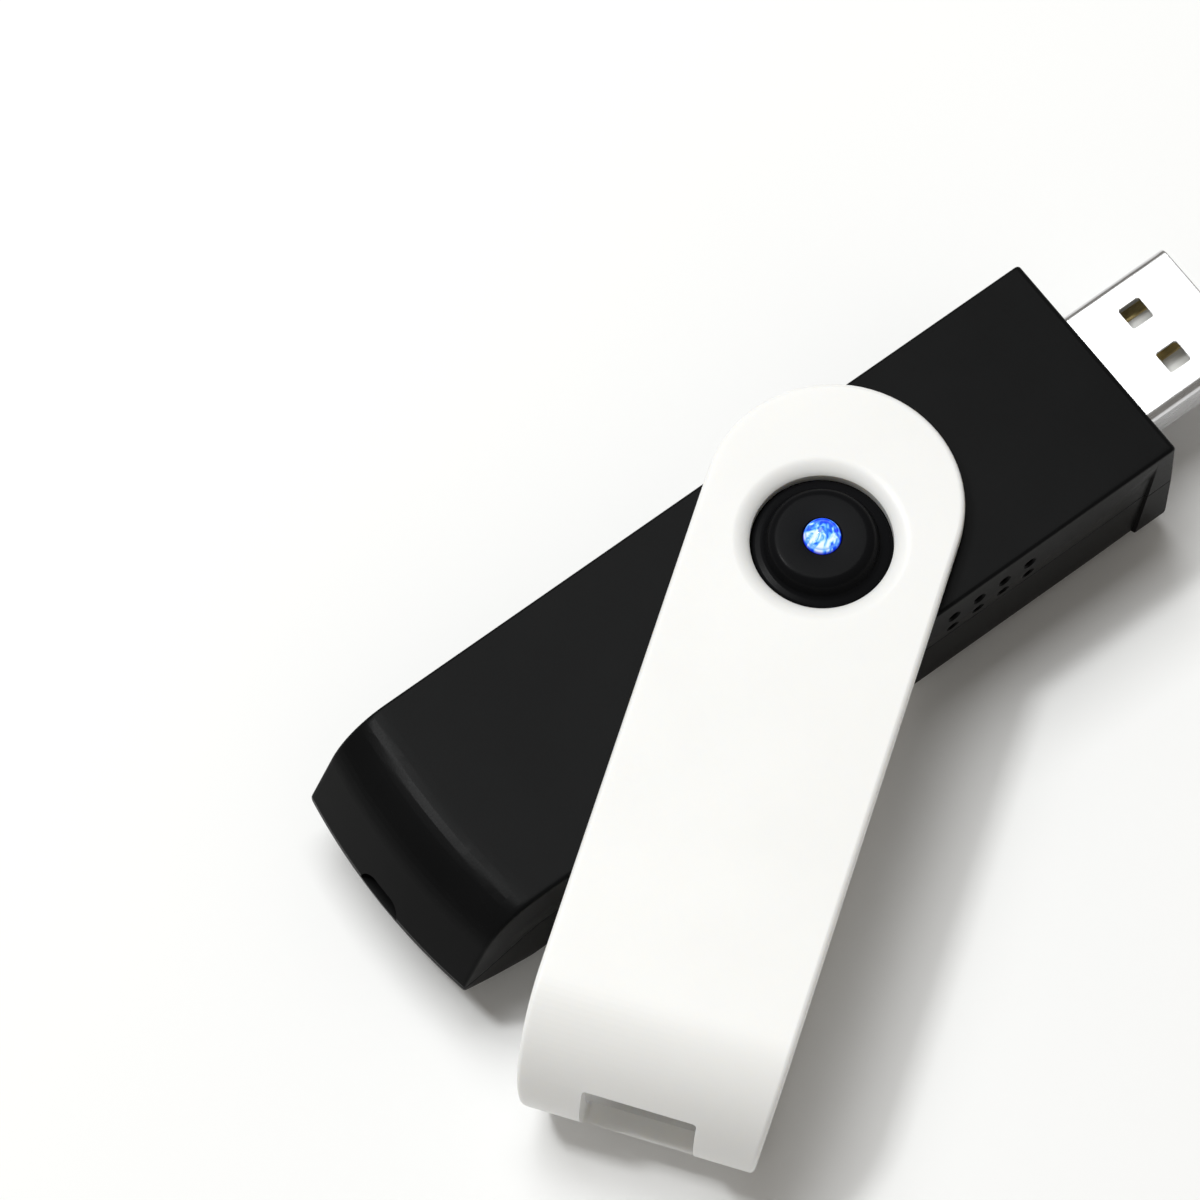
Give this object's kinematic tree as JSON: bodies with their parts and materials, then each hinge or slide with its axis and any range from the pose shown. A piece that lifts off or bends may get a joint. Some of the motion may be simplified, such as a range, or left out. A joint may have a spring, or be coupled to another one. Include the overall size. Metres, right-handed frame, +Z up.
{
  "type": "usb stick air ioniser",
  "caption": "USB stick air ioniser: black two-part case with side vents and an ion outlet, lit hub, and a white U-shaped cover that swivels over the plug.",
  "frame": {"origin": "centre of the case's front face, on the axis of the USB plug", "axes": "+X out of the plug, +Z up through the lit hub"},
  "size_m": [0.0881, 0.0503, 0.0191],
  "materials": {
    "black_case": "fine moulded grain",
    "black_cap": "smooth satin",
    "white_cover": "satin, slightly translucent",
    "plug_steel": "nickel-plated, fine brushed",
    "plug_plastic": "plain moulded",
    "gold_contact": "gold-plated",
    "board_laminate": "green solder mask",
    "blue_lens": "clear epoxy, lit blue",
    "tinned_lead": "tinned",
    "ferrite": "sintered",
    "bobbin_plastic": "plain moulded",
    "copper_wire": "enamelled",
    "ceramic_disc": "dipped ceramic",
    "diode_body": "moulded epoxy",
    "resistor_body": "lacquered",
    "capacitor_sleeve": "shrink sleeve",
    "transistor_body": "moulded epoxy",
    "chip_body": "ceramic chip",
    "holder_plastic": "plain moulded",
    "needle_steel": "ground point",
    "wire_insulation": "silicone insulation"
  },
  "bodies": {
    "stick": {"upper_case": "black_case", "lower_case": "black_case", "upper_hub_cap": "black_cap", "lower_hub_cap": "black_cap", "usb_shell": "plug_steel", "usb_tongue": "plug_plastic", "usb_contacts": "gold_contact", "circuit_board": "board_laminate", "indicator_diode": "blue_lens", "diode_leads": "tinned_lead", "transformer_core": "ferrite", "transformer_bobbin": "bobbin_plastic", "transformer_winding": "copper_wire", "disc_capacitors": "ceramic_disc", "multiplier_diodes": "diode_body", "ballast_resistors": "resistor_body", "filter_capacitor": "capacitor_sleeve", "drive_transistor": "transistor_body", "chip_resistors": "chip_body", "emitter_holder": "holder_plastic", "emitter_needle": "needle_steel", "emitter_wire": "wire_insulation"},
    "cover": {"swivel_cover": "white_cover"}
  },
  "joints": [
    {"name": "cover_swivel", "type": "hinge", "parent": "stick", "child": "cover", "pos_m": [-0.0289, 0, 0], "axis": [0, 0, 1], "continuous": true}
  ]
}
